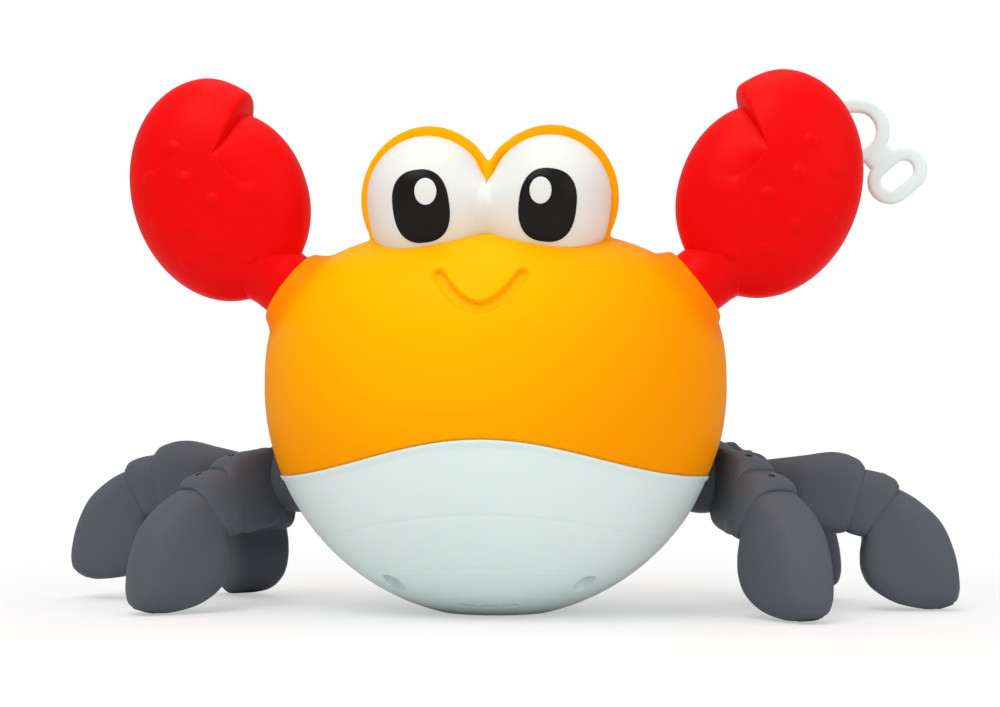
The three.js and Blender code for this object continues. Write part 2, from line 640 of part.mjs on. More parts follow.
// Leg: three overlapping beads (thigh, shin and leaf-shaped foot), moulded in one, with a peg for the hub.
// Stations are [under reach, under height, top reach, top height, half thickness] in the leg's upright plane.
function bead(stations) {
  const sides = 10;
  const full = (v) => Math.sign(v) * Math.abs(v) ** 0.8;
  const rings = stations.map(([r0, z0, r1, z1, thick]) => {
    const half = Math.min(thick, LEG_TAPER * (r0 + r1) / 2);
    const ring = [];
    for (let k = 0; k < sides; k++) {
      const a = 2 * Math.PI * k / sides;
      const share = (1 + full(Math.cos(a))) / 2;
      ring.push(new THREE.Vector3(r0 + share * (r1 - r0), half * full(Math.sin(a)), z0 + share * (z1 - z0)));
    }
    return ring;
  });
  return loft(rings);
}
function legSolid(shorter) {
  const unit = LEG_REACH / 83;
  const drop = shorter / 26;
  const placed = (stations) => stations.map(([r0, z0, r1, z1, thick]) => [
    unit * r0 - shorter, unit * z0, unit * r1 - shorter, unit * z1, unit * thick,
  ]);
  const rootReach = (LEG_PEG_START + 3.5 + shorter) / unit;
  const rootLow = -11.5 - 4 * drop;
  const rootHigh = 4 + 6 * drop;
  const thighPart = (f) => {
    const reach = rootReach + f * (42.5 - rootReach);
    return [reach, rootLow + f * (-18.5 - rootLow), reach + f, rootHigh + f * (7.6 - rootHigh), 9.6];
  };
  const thigh = bead(placed([
    thighPart(0), thighPart(1 / 3), thighPart(2 / 3), thighPart(1),
    [45.6, -18.4, 50.4, 5.6, 9.6], [46.8, -17.9, 52.8, 3.2, 9],
  ]));
  const shin = bead(placed([
    [45, -16.5, 49, 2, 8], [47.4, -18.4, 53, 2, 8.7], [50.5, -19.4, 58.5, 0.8, 9.2],
    [52.2, -19.6, 62.4, -1, 9.2], [53, -19, 63.8, -3, 8.6],
  ]));
  const foot = bead(placed([
    [51, -18, 59.5, -3.4, 7.8], [52.6, -20.5, 64.4, -4.6, 8.6], [52.1, -26, 70.8, -8.6, 9.5],
    [52.6, -31.5, 77.4, -15.3, 9.8], [55.5, -36.6, 81.5, -24.9, 9.4], [62.5, -40.8, 83, -34, 8.2],
    [71, -42.7, 82.6, -39, 6], [76, -42.8, 81.2, -41, 3.6],
  ]));
  const peg = rod(new THREE.Vector3(LEG_PEG_START, 0, 0), new THREE.Vector3(20, 0, 0), LEG_PEG_RADIUS, 12);
  const hole = (r, z) => rod(
    new THREE.Vector3(unit * r - shorter, 0, unit * z),
    new THREE.Vector3(unit * r - shorter, 0, unit * z + 14),
    DRAIN_RADIUS,
    6,
  );
  const leg = union(thigh, shin, foot).subtract(hubBall(GAP + HUB_FACET)).add(peg);
  return cut(leg, hole(47.6, -3), hole(59.4, -9));
}
const hubBall = (grow) => ellipsoid(
  new THREE.Vector3(),
  HUB_RADIUS + grow,
  HUB_RADIUS + grow,
  HUB_HEIGHT + grow,
  14,
  8,
);

function legPlace(side, name) {
  const lift = rad(LEG_LIFT[sideName(side)][name]);
  return new THREE.Euler(0, -lift, -side * rad(LEG_FORWARD[name]), 'ZYX');
}
function hubSolid(side) {
  const bar = (x0, x1, radius) => rod(new THREE.Vector3(x0, 0, 0), new THREE.Vector3(x1, 0, 0), radius, 16);
  let hub = cut(
    hubBall(0),
    bar(-2 * HUB_RADIUS, PIN_REACH + GAP, PIN_RADIUS + GAP),
    bar(PIN_REACH - 3 - GAP, PIN_REACH + GAP, PIN_HEAD + GAP),
  );
  for (const name of Object.keys(LEG_SHORTER)) {
    const turn = legPlace(side, name);
    const from = new THREE.Vector3(LEG_PEG_START - GAP, 0, 0).applyEuler(turn);
    const to = new THREE.Vector3(2 * HUB_RADIUS, 0, 0).applyEuler(turn);
    hub = hub.subtract(rod(from, to, LEG_PEG_RADIUS + GAP, 12));
  }
  return hub;
}

const hubTurn = (side) => outwards(side) - side * rad(LEG_SWING[sideName(side)]);
function legSet(side) {
  const group = new THREE.Group();
  group.position.copy(hip(side));
  group.rotation.z = hubTurn(side);
  group.add(piece(`${sideName(side)}_leg_hub`, hubSolid(side), grey()));
  for (const name of Object.keys(LEG_SHORTER)) {
    const leg = piece(`${sideName(side)}_${name}_leg`, legSolid(LEG_SHORTER[name]), grey());
    leg.rotation.copy(legPlace(side, name));
    group.add(leg);
  }
  return group;
}

// Crank: a straight journal on the axle's end and a bent pin on which the leg hub rocks
function crank(side) {
  const pinAxis = new THREE.Vector3(1, 0, 0).applyAxisAngle(new THREE.Vector3(0, 0, 1), hubTurn(side));
  const onAxle = (x) => new THREE.Vector3(side * x, HIP_BACK, HIP_HEIGHT);
  const onPin = (s) => hip(side).addScaledVector(pinAxis, s);
  const pinRoot = -HUB_RADIUS - 2;
  const journal = rod(onAxle(AXLE_HALF - 13), onAxle(hip(1).x + pinRoot), CRANK_RADIUS, 14);
  const pin = rod(onPin(pinRoot - 2), onPin(PIN_REACH), PIN_RADIUS, 16);
  const head = rod(onPin(PIN_REACH - 3), onPin(PIN_REACH), PIN_HEAD, 16);
  const bore = rod(onAxle(AXLE_HALF - 15), onAxle(AXLE_HALF + GAP), AXLE_RADIUS + GAP, 16);
  return union(journal, pin, head).subtract(bore);
}

// Hip cup: a dish that closes the hip opening, with a bush for the crank's journal
function hipCup(side) {
  const rim = surfaceX(HIP_BACK + CUP_HALF_WIDTH - CUP_FORWARD, HIP_HEIGHT) - 1;
  const dish = cupBar(side, cupFloor, rim, 0).subtract(cupBar(side, cupFloor + WALL, BODY_WIDTH, -WALL));
  const onAxle = (x) => new THREE.Vector3(side * x, HIP_BACK, HIP_HEIGHT);
  const bush = rod(onAxle(cupFloor - 6), onAxle(cupFloor + 1), CRANK_RADIUS + WALL, 14);
  return dish.add(bush).subtract(rod(onAxle(cupFloor - 8), onAxle(rim), CRANK_RADIUS + GAP, 14));
}

// Gears lie in the Y-Z plane: a group turns the drawing plane so that its depth runs along X.
const toMotor = new THREE.Quaternion().setFromRotationMatrix(new THREE.Matrix4().makeBasis(
  new THREE.Vector3(0, 1, 0),
  new THREE.Vector3(0, 0, 1),
  new THREE.Vector3(1, 0, 0),
));
const involute = (angle) => Math.tan(angle) - angle;
function gearShape(teeth, phase) {
  const pressure = rad(20);
  const backlash = 0.06;
  const pitch = GEAR_MODULE * teeth / 2;
  const base = pitch * Math.cos(pressure);
  const tip = pitch + 0.9 * GEAR_MODULE;
  const root = pitch - 1.2 * GEAR_MODULE;
  const half = Math.PI / (2 * teeth) - backlash / pitch;
  const flank = (r) => half + involute(pressure) - involute(Math.acos(Math.min(1, base / r)));
  const points = [];
  const at = (r, a) => points.push(new THREE.Vector2(r * Math.cos(a), r * Math.sin(a)));
  for (let i = 0; i < teeth; i++) {
    const middle = phase + 2 * Math.PI * i / teeth;
    at(root, middle - flank(root));
    at(tip, middle - flank(tip));
    at(tip, middle + flank(tip));
    at(root, middle + flank(root));
  }
  return new THREE.Shape(points);
}
function gear(teeth, phase, x0, x1) {
  const options = { depth: x1 - x0, bevelEnabled: false };
  const geometry = new THREE.ExtrudeGeometry(gearShape(teeth, phase), options);
  return solid(geometry.translate(0, 0, x0));
}
const bar = (x0, x1, radius, sides = 16) =>
  rod(new THREE.Vector3(0, 0, x0), new THREE.Vector3(0, 0, x1), radius, sides);

const plateOutside = PLATE_INSIDE + PLATE_THICK;
const wheelFace = [4, 4 + GEAR_FACE];
const barrelFace = [-GEAR_FACE, 0];
const drumEdge = barrelFace[0] - DRUM_DEPTH;

function driveAxle() {
  return bar(-AXLE_HALF, AXLE_HALF, AXLE_RADIUS, 16)
    .add(gear(AXLE_TEETH, rad(WHEEL_BEARING), wheelFace[0] - 0.5, wheelFace[1] + 0.5));
}
function wheelAndPinion() {
  const wheelPhase = rad(WHEEL_BEARING + 180) + Math.PI / WHEEL_TEETH;
  const pinionPhase = rad(BARREL_BEARING);
  return union(
    bar(-plateOutside - 1, plateOutside + 1, AXLE_RADIUS, 16),
    bar(-PLATE_INSIDE + GAP, PLATE_INSIDE - GAP, 2 * AXLE_RADIUS, 16),
    gear(WHEEL_TEETH, wheelPhase, ...wheelFace),
    gear(PINION_TEETH, pinionPhase, barrelFace[0] - 0.5, barrelFace[1] + 0.5),
  );
}
function barrel() {
  const phase = rad(BARREL_BEARING + 180) + Math.PI / BARREL_TEETH;
  const drum = gear(BARREL_TEETH, phase, ...barrelFace).add(bar(drumEdge, barrelFace[1], DRUM_RADIUS, 28));
  const hollow = bar(drumEdge - 1, barrelFace[0], DRUM_RADIUS - WALL, 28);
  return cut(drum, hollow, bar(drumEdge, barrelFace[1] + 1, ARBOR_RADIUS + GAP));
}
function springArbor() {
  return bar(-plateOutside - 1, plateOutside + 1, AXLE_RADIUS, 16)
    .add(bar(-PLATE_INSIDE + GAP, PLATE_INSIDE - GAP, ARBOR_RADIUS));
}
// Mainspring: a flat strip in a spiral from the arbor to the drum's wall
function mainspring() {
  const inside = ARBOR_RADIUS + GAP + SPRING_THICK;
  const outside = DRUM_RADIUS - WALL - GAP - SPRING_THICK;
  const steps = SPRING_TURNS * 14;
  const edges = [drumEdge + 1, barrelFace[0] - 0.6];
  const rings = [];
  for (let i = 0; i <= steps; i++) {
    const a = 2 * Math.PI * SPRING_TURNS * i / steps;
    const r = inside + (outside - inside) * i / steps;
    const at = (radius, x) => new THREE.Vector3(radius * Math.cos(a), radius * Math.sin(a), x);
    const half = SPRING_THICK / 2;
    const [near, far] = edges;
    rings.push([at(r - half, near), at(r + half, near), at(r + half, far), at(r - half, far)]);
  }
  return loft(rings);
}

// Motor plate: a flat web with lugs for the three shafts and two feet on the belly's posts
function motorPlate(side) {
  const x = side > 0 ? [PLATE_INSIDE, plateOutside] : [-plateOutside, -PLATE_INSIDE];
  const shafts = [axleAt, wheelAt, barrelAt];
  const lug = 7;
  const web = new THREE.Shape([
    [plateFeet[0] - plateFootHalf, plateFoot],
    [plateFeet[0] + plateFootHalf, plateFoot],
    [0, barrelAt.z - 2 * lug],
    [plateFeet[1] - plateFootHalf, plateFoot],
    [plateFeet[1] + plateFootHalf, plateFoot],
    [axleAt.y + lug, axleAt.z],
    [wheelAt.y + lug, wheelAt.z],
    [wheelAt.y - lug, wheelAt.z + lug],
    [barrelAt.y - lug, barrelAt.z + lug],
    [barrelAt.y - lug, barrelAt.z - lug],
  ].map(([y, z]) => new THREE.Vector2(y, z)));
  const geometry = new THREE.ExtrudeGeometry(web, { depth: PLATE_THICK, bevelEnabled: false });
  let plate = solid(geometry.translate(0, 0, x[0]));
  for (const { y, z } of shafts) {
    plate = plate.subtract(rod(
      new THREE.Vector3(y, z, x[0] - 1),
      new THREE.Vector3(y, z, x[1] + 1),
      AXLE_RADIUS + GAP,
      16,
    ));
  }
  return plate;
}

function motor() {
  const group = new THREE.Group();
  group.quaternion.copy(toMotor);
  const place = (name, body, at, material) => {
    const mesh = piece(name, body, material);
    mesh.position.set(at.y, at.z, 0);
    group.add(mesh);
  };
  const frame = { y: 0, z: 0 };
  place('motor_plate_left', motorPlate(-1), frame, steel());
  place('motor_plate_right', motorPlate(1), frame, steel());
  place('drive_axle', driveAxle(), axleAt, steel());
  place('intermediate_gear', wheelAndPinion(), wheelAt, gearWhite());
  place('spring_barrel', barrel(), barrelAt, gearWhite());
  place('spring_arbor', springArbor(), barrelAt, steel());
  place('mainspring', mainspring(), barrelAt, steel());
  return group;
}

const crab = new THREE.Group();
crab.add(piece('upper_shell', upperShell(), yellow()));
crab.add(piece('belly_shell', bellyShell(), white()));
crab.add(piece('eye_insert', eyeInsert(), eyeWhite()));
crab.add(piece('left_pupil', pupil(-1), black()));
crab.add(piece('right_pupil', pupil(1), black()));
for (const [name, [x, y]] of Object.entries(screwPlaces)) {
  const screw = caseScrew(x, y);
  screw.name = `case_screw_${name}`;
  crab.add(screw);
}
for (const side of [-1, 1]) {
  const claw = clawGroup(side);
  if (side > 0) {
    const offset = clawMiddle(side).sub(shoulder(side));
    const peg = piece('ring_peg', ringPegBar(0, RING_PEG_HEAD), red());
    peg.position.copy(offset);
    const ring = piece('pull_ring', pullRing(), white());
    const ringMiddle = ringFront + RING_THICK / 2;
    ring.position.copy(offset).add(new THREE.Vector3(RING_PLACE.out, ringMiddle, RING_PLACE.up));
    claw.add(peg, ring);
  }
  crab.add(claw, legSet(side));
  crab.add(piece(`${sideName(side)}_hip_cup`, hipCup(side), grey()));
  crab.add(piece(`${sideName(side)}_crank`, crank(side), gearWhite()));
}
crab.add(motor());

export default crab;
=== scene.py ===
import json
import math

import bpy
import numpy as np
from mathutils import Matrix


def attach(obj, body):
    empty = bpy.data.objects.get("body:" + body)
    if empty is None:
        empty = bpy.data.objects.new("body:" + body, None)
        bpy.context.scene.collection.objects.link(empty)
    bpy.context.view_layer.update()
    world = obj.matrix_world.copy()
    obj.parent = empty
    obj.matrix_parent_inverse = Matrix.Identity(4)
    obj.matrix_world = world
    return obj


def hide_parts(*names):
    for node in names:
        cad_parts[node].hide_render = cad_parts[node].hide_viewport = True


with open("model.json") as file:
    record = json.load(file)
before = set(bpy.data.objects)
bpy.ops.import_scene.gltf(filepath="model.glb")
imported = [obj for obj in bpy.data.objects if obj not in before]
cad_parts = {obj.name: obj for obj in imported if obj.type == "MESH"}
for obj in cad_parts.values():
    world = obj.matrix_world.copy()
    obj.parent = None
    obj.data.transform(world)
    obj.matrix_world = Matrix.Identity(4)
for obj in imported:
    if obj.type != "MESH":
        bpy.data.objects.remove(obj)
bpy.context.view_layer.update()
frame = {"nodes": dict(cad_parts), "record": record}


# Upper shell: a moulded yellow crown with an eye hood, shoulder collars, a wave-shaped lower edge and an
# engraved smile, screwed to the belly. One surface in rays from a point inside the body, in millimetres as
# all shapes here. It rides on the body and stands for upper_shell.

millimetre = 0.001
body_half_width, body_half_depth = 73.5, 62
widest_level = 71
crown_height, belly_depth = 50.5, 73
crown_power = 2.7


class Wire:
    """A shader socket. Arithmetic on it adds Math nodes, and node() adds any other node of its tree."""

    def __init__(self, socket):
        self.socket = socket
        self.tree = socket.id_data

    def node(self, kind, inputs, output=0, **settings):
        made = self.tree.nodes.new(kind)
        for name, value in settings.items():
            setattr(made, name, value)
        for name, value in inputs.items():
            if isinstance(value, Wire):
                self.tree.links.new(value.socket, made.inputs[name])
            else:
                made.inputs[name].default_value = value
        return Wire(made.outputs[output])

    def math(self, operation, other):
        return self.node("ShaderNodeMath", {0: self, 1: other}, operation=operation)

    def __add__(self, other):
        return self.math("ADD", other)

    def __mul__(self, other):
        return self.math("MULTIPLY", other)

    __radd__ = __add__
    __rmul__ = __mul__

    def to(self, socket):
        self.tree.links.new(self.socket, socket)


def new_material(name):
    """A material with one shader, and the wire of its Object coordinates."""
    made = bpy.data.materials.new(name)
    made.use_nodes = True
    shader = made.node_tree.nodes["Principled BSDF"]
    place = made.node_tree.nodes.new("ShaderNodeTexCoord")
    return made, shader, Wire(place.outputs["Object"])


def fade(far, start, stop, full):
    """A wire that falls smoothly from full to nothing while a distance grows from start to stop."""
    ends = {"From Min": start, "From Max": stop, "To Min": full, "To Max": 0.0}
    return far.node("ShaderNodeMapRange", {"Value": far, **ends}, interpolation_type="SMOOTHSTEP")


def distance(place, point):
    """A wire of the distance from a point."""
    return place.node("ShaderNodeVectorMath", {0: place, 1: tuple(point)}, 1, operation="DISTANCE")


def moulded(name, light, dark, rough, soft, gloss=0.08, glow=None):
    """Satin moulded plastic: a drift between two colours, slow and even, or, where glow gives a place,
    painted light and shade: the light colour there fading to the dark one away from it, with a little even
    drift on top; an uneven sheen and a fine grain."""
    made, shader, place = new_material(name)
    drift = place.node("ShaderNodeTexNoise", {"Vector": place, "Scale": 26.0, "Detail": 2.0})
    if glow:
        # Painted light and shade: lighter near the glow place, where the light falls most, darker away from
        # it.
        drift = fade(distance(place, glow), 0.016, 0.085, 0.95) + 0.08 * drift
    colour = place.node("ShaderNodeMix", {0: drift, 6: (*dark, 1), 7: (*light, 1)}, 2, data_type="RGBA")
    colour.to(shader.inputs["Base Color"])
    sheen = place.node("ShaderNodeTexNoise", {"Vector": place, "Scale": 90.0, "Detail": 3.0})
    sheen_range = 0.12
    (sheen_range * sheen + (rough - sheen_range / 2)).to(shader.inputs["Roughness"])
    grain = place.node("ShaderNodeTexNoise", {"Vector": place, "Scale": 1500.0, "Detail": 1.0})
    bump = place.node("ShaderNodeBump", {"Height": grain, "Strength": 0.04, "Distance": 0.0003})
    bump.to(shader.inputs["Normal"])
    shader.inputs["Subsurface Weight"].default_value = soft
    shader.inputs["Subsurface Radius"].default_value = (1.0, 0.6, 0.4)
    shader.inputs["Subsurface Scale"].default_value = 0.004
    shader.inputs["Specular IOR Level"].default_value = gloss
    return made


def skin(name, rows, ends, material, body, slot, *nodes):
    """Mesh over a grid of points, joined round each row and turned to face outwards. A loop joins the last
    row to the first, and otherwise the last row, or both ends, get a face. It rides on a body."""
    count, across = rows.shape[:2]
    ring = np.arange(across)
    after = (ring + 1) % across
    here = np.arange(count if ends == "loop" else count - 1)[:, None] * across
    there = (here + across) % (count * across)
    quads = np.stack([here + ring, here + after, there + after, there + ring], -1).reshape(-1, 4)
    caps = {"loop": [], "last": [ring + there[-1]], "both": [ring[::-1], ring + there[-1]]}[ends]
    a, b, c, d = rows.reshape(-1, 3)[quads].swapaxes(0, 1)
    outwards = np.sum(np.cross(c - a, d - b) * (a + c - 2 * rows.mean((0, 1)))) > 0
    turn = 1 if outwards else -1
    corners = np.concatenate([quads[:, ::turn].ravel()] + [cap[::turn] for cap in caps])
    starts = np.append(np.arange(len(quads)) * 4, quads.size + np.arange(len(caps)) * across)
    mesh = bpy.data.meshes.new(name)
    mesh.vertices.add(count * across)
    mesh.vertices.foreach_set("co", (rows * millimetre).astype(np.float32).ravel())
    mesh.loops.add(len(corners))
    mesh.loops.foreach_set("vertex_index", corners.astype(np.int32))
    mesh.polygons.add(len(starts))
    mesh.polygons.foreach_set("loop_start", starts.astype(np.int32))
    mesh.polygons.foreach_set("use_smooth", np.ones(len(starts), dtype=bool))
    mesh.update(calc_edges=True)
    mesh.materials.append(material)
    made = bpy.data.objects.new(name, mesh)
    bpy.context.scene.collection.objects.link(made)
    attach(made, body)
    if nodes:
        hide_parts(*nodes)


def full_turn(count):
    """Even angles round a full turn, without the last one, which is the first again."""
    return np.linspace(0, 2 * np.pi, count, endpoint=False)


def smooth_step(x):
    """A soft ramp from 0 to 1: 3 x^2 - 2 x^3."""
    x = np.clip(x, 0, 1)
    return x * x * (3 - 2 * x)


def soft_min(a, b, k):
    """Smaller of two fields, rounded over a width k."""
    h = np.clip(0.5 + 0.5 * (b - a) / k, 0, 1)
    return b + (a - b) * h - k * h * (1 - h)


def share(z):
    """Level share of the body at a height: above the widest level a crown, where the powers 2.7 of share
    and height add to 1, and below it a half egg, where their squares do."""
    up = np.clip(np.abs(z - widest_level) / crown_height, 0, 1)
    down = np.clip(np.abs(z - widest_level) / belly_depth, 0, 1)
    crown = (1 - up ** crown_power) ** (1 / crown_power)
    return np.where(z > widest_level, crown, np.sqrt(1 - down ** 2))


seam_low, seam_wave, seam_half_length = 43.4, 11.3, 68


def seam(x):
    """Height of the seam between the shells: half a cosine wave, highest in the middle."""
    return seam_low + seam_wave * (1 + np.cos(np.pi * np.clip(x / seam_half_length, -1, 1))) / 2


def seam_round(angle, below):
    """The seam's place on the body at each angle round it, lowered by a little. Height and level share
    depend on each other, so they are worked out in turn until they settle."""
    z = np.full_like(angle, seam_low)
    for _ in range(30):
        z = seam(body_half_width * share(z) * np.cos(angle)) - below
    level = share(z)
    return np.stack([body_half_width * level * np.cos(angle), body_half_depth * level * np.sin(angle), z], -1)


def tucked(edge, inwards, up):
    """Rows that lead out to a shell's edge from inside it: the edge drawn in by a few lengths and raised a
    little."""
    rows = edge * (1 - np.array(inwards)[:, None, None] / 60)
    rows[..., 2] = edge[:, 2] + np.array(up)[:, None]
    return rows


eye_out = 18.65
hood_front, hood_level = -24, 128.6
hood_half_width, hood_half_depth, hood_half_height = 21, 24, 22.5
lobe_blend, hood_edge_round, hood_fillet = 0.1, 1.2, 2.5
bridge_proud, bridge_half_width = 7, 4
shoulder = np.array([62.7, -15, 102.4])
arm_axis = np.array([0.791224, 0, 0.611527])
collar_radius, collar_rim, collar_depth = 12.5, 0.8, 14
collar_flare, flare_length = 3.2, 5
collar_steepness, collar_edge_round, collar_fillet = 0.8, 1.0, 2.0


def crown_field(p):
    """Below zero inside the crown: a flattened egg, joined softly to two egg lobes that are cut flat in
    front for the eyes, and to a short flared collar along each arm's axis."""
    x, y, z = p[..., 0], p[..., 1], p[..., 2]
    level = np.hypot(x / body_half_width, y / body_half_depth)
    up = np.abs(z - widest_level)
    crown = (level ** crown_power + (up / crown_height) ** crown_power) ** (1 / crown_power)
    egg_size = 52
    egg = (np.where(z > widest_level, crown, np.hypot(level, up / belly_depth)) - 1) * egg_size
    upright = ((y - hood_front) / hood_half_depth) ** 2 + ((z - hood_level) / hood_half_height) ** 2
    lobes = [np.sqrt(((x - c) / hood_half_width) ** 2 + upright) for c in (-eye_out, eye_out)]
    hood = (soft_min(*lobes, lobe_blend) - 1) * hood_half_width
    bridge = bridge_proud * np.exp(-(x / bridge_half_width) ** 2)
    hood = -soft_min(-hood, y - hood_front + bridge, hood_edge_round)
    body = soft_min(egg, hood, hood_fillet)
    for side in (-1, 1):
        offset = p - shoulder * (side, 1, 1)
        along = side * offset[..., 0] * arm_axis[0] + offset[..., 2] * arm_axis[2]
        from_axis = np.sqrt(np.maximum(np.sum(offset ** 2, axis=-1) - along ** 2, 0))
        flare = collar_flare * (1 - np.exp(np.minimum(along - collar_rim, 0) / flare_length))
        under_skin = (collar_radius + flare - from_axis) * collar_steepness
        collar = -soft_min(under_skin, collar_rim - along, collar_edge_round)
        body = soft_min(body, np.maximum(collar, -along - collar_depth), collar_fillet)
    return body


smile_aside, smile_low = -0.3, 92.5
smile_half_length, smile_rise = 12.3, 9.8
groove_half_width, groove_edge, groove_depth = 2.1, 0.6, 1.9


def smile_way(x, z):
    """Distance in the front view from the smile's curve, a parabola that opens upwards."""
    t = np.linspace(-1, 1, 61)
    curve = zip(smile_half_length * t + smile_aside, smile_low + smile_rise * t ** 2)
    return np.sqrt(np.min([(x - a) ** 2 + (z - b) ** 2 for a, b in curve], axis=0))


opening_from_x, opening_y, opening_z = 40, 13, 43.2
opening_half_depth, opening_half_height = 22.3, 18.3
behind_hip_cup = 47.2
rim_share, wall_share, wall_size = 0.72, 0.4, 1.03


def hip_sink(p):
    """Cuts the oval hip openings: points near the rim go out onto it, the next ones make a wall just
    outside the oval, and the rest sinks behind the hip cups."""
    x, y, z = p[..., 0], p[..., 1] - opening_y, p[..., 2] - opening_z
    oval = (y / opening_half_depth) ** 2 + (z / opening_half_height) ** 2
    inside = (oval < 1) & (np.abs(x) > opening_from_x)
    rim = inside & (oval > rim_share)
    wall = inside & (oval > wall_share) & ~rim
    out = np.where(rim | wall, np.where(rim, 1, wall_size) / np.sqrt(np.maximum(oval, wall_share)), 1)
    y, z = opening_y + y * out, opening_z + z * out
    on_shell = body_half_width * np.sqrt(np.maximum(share(z) ** 2 - (y / body_half_depth) ** 2, 0))
    x = np.where(inside, np.sign(x) * np.where(rim, on_shell, behind_hip_cup), x)
    return np.stack([x, y, z], -1)


def crown_rows():
    """Rays from a point inside the body, from the seam up to the top, each as long as the field stays below
    zero. The length is found by halving. Columns are closer in front and rows closer at the face, where the
    smile is pressed in along the rays."""
    start = np.array([0.0, -8.0, 84.0])
    turn = full_turn(480)
    edge = seam_round(-np.pi / 2 + turn - 0.45 * np.sin(turn), -0.1)
    aim = edge - start
    azimuth = np.arctan2(aim[:, 1], aim[:, 0])
    lowest = np.arctan2(aim[:, 2], np.hypot(aim[:, 0], aim[:, 1]))
    rise, face = np.linspace(0, 1, 198)[:, None], 0.38
    rise = rise - 0.08 * (np.sin(2 * np.pi * (rise - face)) + np.sin(2 * np.pi * face))
    lift = lowest + (np.radians(89.9) - lowest) * rise
    rays = np.stack([np.cos(lift) * np.cos(azimuth), np.cos(lift) * np.sin(azimuth), np.sin(lift)], -1)
    near, far = np.zeros(lift.shape), np.full(lift.shape, 120.0)
    for _ in range(40):
        half = (near + far) / 2
        inside = crown_field(start + half[..., None] * rays) < 0
        near, far = np.where(inside, half, near), np.where(inside, far, half)
    points = start + near[..., None] * rays
    groove = smooth_step((groove_half_width - smile_way(points[..., 0], points[..., 2])) / groove_edge)
    groove = groove * (points[..., 1] < 0)
    points = points - groove_depth * groove[..., None] * rays
    return hip_sink(np.concatenate([tucked(edge, [2.4, 0.9, 0.3], [0.1, -0.05, 0.0]), points]))


# The yellow is painted lighter round a place at the upper front of the face, where the light falls most, and
# darker orange towards the sides and below: painted light and shade, with a little even drift.
yellow = moulded("yellow_plastic", light=(1.0, 0.475, 0.0), dark=(1.0, 0.31, 0.0), rough=0.4, soft=0.06,
                 gloss=0.02, glow=(-0.014, -0.052, 0.11))
base = yellow.node_tree.nodes["Principled BSDF"].inputs["Base Color"]
colour = Wire(base.links[0].from_socket)
place = colour.node("ShaderNodeTexCoord", {}, "Object")
# Painted shade: the yellow turns a deeper orange between about 16 and 22 mm from a point 4 mm out along each
# arm, as shade in the creases round the shoulder collars.
left, right = [distance(place, (shoulder + 4 * arm_axis) * (side, 1, 1) * millimetre) for side in (-1, 1)]
painted_collar_shade = fade(left.math("MINIMUM", right), 0.0155, 0.0225, 0.75)
colour.node("ShaderNodeMix", {0: painted_collar_shade, 6: colour, 7: (1.0, 0.2, 0.0, 1)}, 2, data_type="RGBA").to(base)
skin("upper_shell_skin", crown_rows(), "last", yellow, "body", "yellow_plastic", "upper_shell")


# Belly: a moulded white half egg under the wave seam, with a thin lip, faint engraved lines, screw wells and
# drain slots. Rows run from the seam down to the flat sole. It rides on the body and stands for belly_shell.

lip_proud, lip_height = 0.55, 1.5
line_half_width, line_depth = 0.6, 0.4
well_places = [(x, y) for x in (-29, 29) for y in (-25, 34)]
well_radius, well_depth = 3.2, 10.5
slot_y, slot_spacing, slot_depth = -23.6, 6.5, 4.5
slot_half_length, slot_half_width = 2.2, 1


def belly_rows():
    """Half egg: level share cos b and depth sin b, from the seam to the sole, then a flat disc. The lip
    swells by a steep bell below the seam. Lines are drawn in towards the middle, and wells and slots are
    raised into it."""
    turn = full_turn(480)
    angle = -np.pi / 2 + turn - 0.4 * np.sin(turn)
    top = seam_round(angle, 0.05)
    first = np.arcsin((widest_level - top[:, 2]) / belly_depth)
    last = np.arcsin(widest_level / belly_depth)
    b = first + (last - first) * np.linspace(0, 1, 170)[:, None] ** 0.9
    z = widest_level - belly_depth * np.sin(b)
    lip = lip_proud * np.exp(-(((top[:, 2] - z) / lip_height) ** 6))
    x = (body_half_width * np.cos(b) + lip) * np.cos(angle)
    y = (body_half_depth * np.cos(b) + lip) * np.sin(angle)
    rows = np.stack([x, y, z], -1)
    for height, drop, span, half_length in ((32.8, 8.3, 53, 56), (16.2, 1.3, 25, 27)):
        off = z - height + drop * (x / span) ** 2
        line = np.clip(1 - (off / line_half_width) ** 2, 0, 1) * (np.abs(x) < half_length) * (y < 0)
        rows *= 1 - (line_depth * line / 55)[..., None]
    sole = rows[-1] * np.array([1, 1, 0]) * np.linspace(0.97, 0.002, 22)[:, None, None]
    rows = np.concatenate([rows, sole])
    x, y = rows[..., 0], rows[..., 1]
    well = sum(np.hypot(x - a, y - b) < well_radius for a, b in well_places)
    slot = sum(np.abs(x - slot_spacing * k) < slot_half_length for k in (-1, 0, 1))
    slot = slot * (np.abs(y - slot_y) < slot_half_width)
    rows[..., 2] += np.where(rows[..., 2] < 40, well_depth * well + slot_depth * slot, 0)
    return hip_sink(np.concatenate([tucked(top, [2.6, 0.9, 0.2], [-0.15, 0.05, 0.05]), rows]))


white = moulded("white_plastic", light=(0.73, 0.84, 0.82), dark=(0.71, 0.82, 0.80), rough=0.42, soft=0.12)
skin("belly_skin", belly_rows(), "last", white, "body", "white_plastic", "belly_shell")


# Eyes: a white moulded insert of two lobes, seated in front of the hood and joined in a soft crease, each
# with a proud black pupil and a white glint. Heights over the front view. They ride on the body and stand
# for eye_insert and the pupils.

eye_level, eye_proud, eye_half_width = 128.4, 24, 18.7
eye_above, eye_below = 19, 27
eye_back = -20
inner_extra, inner_from, below_from, eye_change = 6.6, 137, 132, 14
crease_round = 7.0
sides = ((-1, "left"), (1, "right"))


